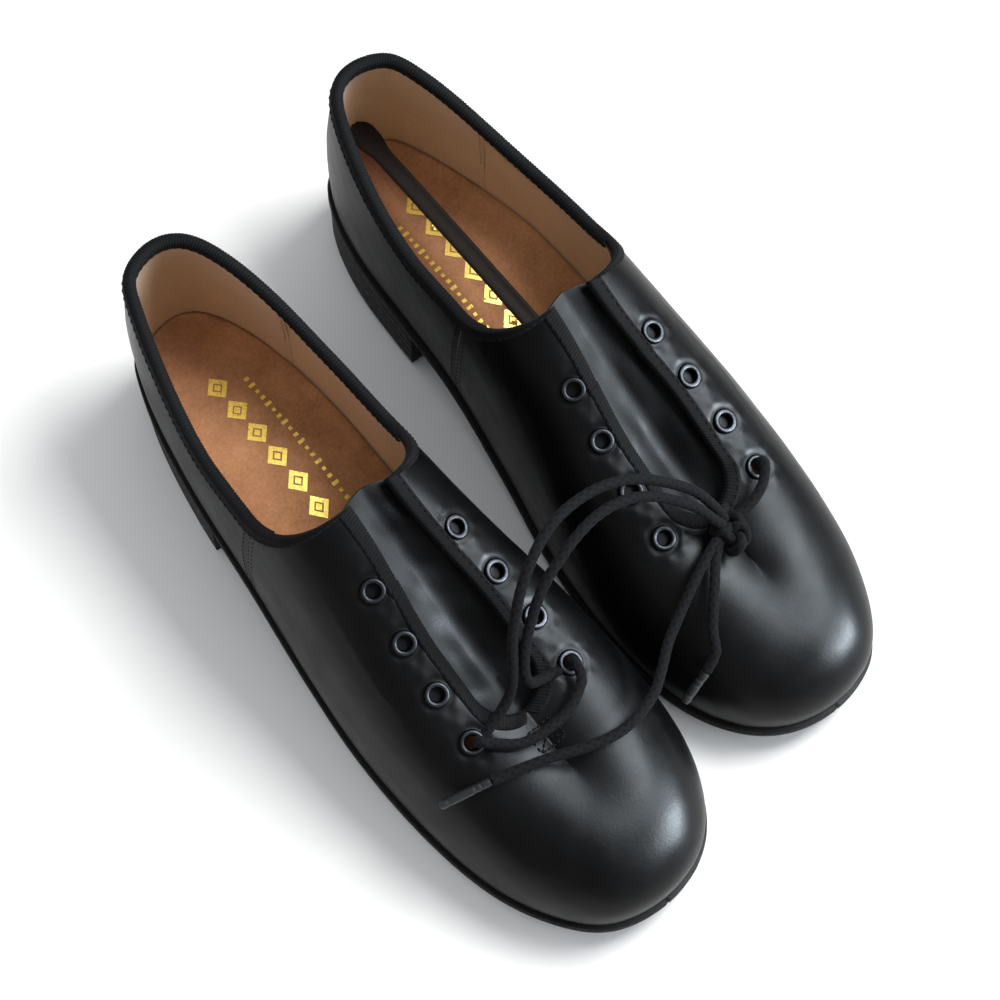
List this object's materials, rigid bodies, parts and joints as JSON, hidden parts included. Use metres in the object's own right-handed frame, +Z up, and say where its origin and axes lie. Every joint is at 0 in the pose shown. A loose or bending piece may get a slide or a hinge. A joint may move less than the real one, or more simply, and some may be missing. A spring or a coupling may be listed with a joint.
{
  "type": "pair of lace-up tap shoes",
  "caption": "Pair of low black leather lace-up tap shoes with metal toe and heel taps, tan lining and one black lace tying the two shoes together.",
  "frame": {"origin": "centre of the bounding box of the two shoes, on the floor under the taps", "axes": "+Z up, toes toward -Y, the right shoe at -X and the left shoe at +X"},
  "size_m": [0.1728, 0.2664, 0.0946],
  "materials": {
    "black_leather": "smooth black glove leather with a soft sheen",
    "binding": "ribbed black binding tape",
    "lining": "tan brushed lining",
    "sock": "brown suede-like sock liner",
    "board": "insole board",
    "sole": "black sole leather",
    "heel": "black stacked heel",
    "tap": "die-cast tap plate, lightly scuffed",
    "screw": "countersunk steel screw",
    "eyelet": "black-coated eyelet with a worn rim",
    "lace": "woven black round lace",
    "aglet": "black tipped lace end",
    "stick": "black springy plastic strip"
  },
  "bodies": {
    "right_facing_medial": {"right_facing_medial": "black_leather", "right_eyelet_medial_1": "eyelet", "right_eyelet_medial_2": "eyelet", "right_eyelet_medial_3": "eyelet", "right_eyelet_medial_4": "eyelet"},
    "right_facing_lateral": {"right_facing_lateral": "black_leather", "right_eyelet_lateral_1": "eyelet", "right_eyelet_lateral_2": "eyelet", "right_eyelet_lateral_3": "eyelet", "right_eyelet_lateral_4": "eyelet"},
    "right_tongue": {"right_tongue": "black_leather"},
    "left_facing_medial": {"left_facing_medial": "black_leather", "left_eyelet_medial_1": "eyelet", "left_eyelet_medial_2": "eyelet", "left_eyelet_medial_3": "eyelet", "left_eyelet_medial_4": "eyelet"},
    "left_facing_lateral": {"left_facing_lateral": "black_leather", "left_eyelet_lateral_1": "eyelet", "left_eyelet_lateral_2": "eyelet", "left_eyelet_lateral_3": "eyelet", "left_eyelet_lateral_4": "eyelet"},
    "left_tongue": {"left_tongue": "black_leather"},
    "shaper_stick": {"shaper_stick": "stick"},
    "right_shoe": {"right_outsole": "sole", "right_heel_block": "heel", "right_heel_tap": "tap", "right_toe_tap": "tap", "right_insole_board": "board", "right_sock_liner": "sock", "right_vamp": "black_leather", "right_quarter_medial": "black_leather", "right_quarter_lateral": "black_leather", "right_lining": "lining", "right_collar_binding": "binding", "right_toe_tap_screw_1": "screw", "right_toe_tap_screw_2": "screw", "right_toe_tap_screw_3": "screw", "right_heel_tap_screw_1": "screw", "right_heel_tap_screw_2": "screw", "right_heel_tap_screw_3": "screw", "lace": "lace", "aglet_long_tail": "aglet", "aglet_short_tail": "aglet"},
    "left_shoe": {"left_outsole": "sole", "left_heel_block": "heel", "left_heel_tap": "tap", "left_toe_tap": "tap", "left_insole_board": "board", "left_sock_liner": "sock", "left_vamp": "black_leather", "left_quarter_medial": "black_leather", "left_quarter_lateral": "black_leather", "left_lining": "lining", "left_collar_binding": "binding", "left_toe_tap_screw_1": "screw", "left_toe_tap_screw_2": "screw", "left_toe_tap_screw_3": "screw", "left_heel_tap_screw_1": "screw", "left_heel_tap_screw_2": "screw", "left_heel_tap_screw_3": "screw"}
  },
  "joints": [
    {"name": "left_shoe_lift", "type": "slide", "parent": "right_shoe", "child": "left_shoe", "axis": [0, 0, 1], "range_m": [0, 0.01], "deforming": ["lace"]},
    {"name": "right_facing_medial_fold", "type": "hinge", "parent": "right_shoe", "child": "right_facing_medial", "pos_m": [-0.01483, -0.03421, 0.05758], "axis": [0.0184, 0.9789, 0.2037], "range_deg": [0, 20], "stiffness_Nm_per_rad": 0.3, "deforming": ["lace"]},
    {"name": "right_facing_lateral_fold", "type": "hinge", "parent": "right_shoe", "child": "right_facing_lateral", "pos_m": [-0.07449, -0.03448, 0.05777], "axis": [0.0767, -0.9762, -0.203], "range_deg": [0, 20], "stiffness_Nm_per_rad": 0.3, "deforming": ["lace"]},
    {"name": "right_tongue_hinge", "type": "hinge", "parent": "right_shoe", "child": "right_tongue", "pos_m": [-0.04418, -0.0697, 0.04057], "axis": [1, 0, 0], "range_deg": [-7, 0], "stiffness_Nm_per_rad": 0.2},
    {"name": "left_facing_medial_fold", "type": "hinge", "parent": "left_shoe", "child": "left_facing_medial", "pos_m": [0.01523, -0.02197, 0.05758], "axis": [-0.0072, -0.979, -0.2037], "range_deg": [0, 20], "stiffness_Nm_per_rad": 0.3, "deforming": ["lace"]},
    {"name": "left_facing_lateral_fold", "type": "hinge", "parent": "left_shoe", "child": "left_facing_lateral", "pos_m": [0.07486, -0.0238, 0.05777], "axis": [0.1022, 0.9738, 0.203], "range_deg": [0, 20], "stiffness_Nm_per_rad": 0.3, "deforming": ["lace"]},
    {"name": "left_tongue_hinge", "type": "hinge", "parent": "left_shoe", "child": "left_tongue", "pos_m": [0.04364, -0.05822, 0.04057], "axis": [0.9997, -0.0262, 0], "range_deg": [-7, 0], "stiffness_Nm_per_rad": 0.2},
    {"name": "shaper_stick_swing", "type": "hinge", "parent": "left_shoe", "child": "shaper_stick", "pos_m": [0.04068, -0.11419, 0.02595], "axis": [0.9997, -0.0262, 0], "range_deg": [0, 2]}
  ]
}
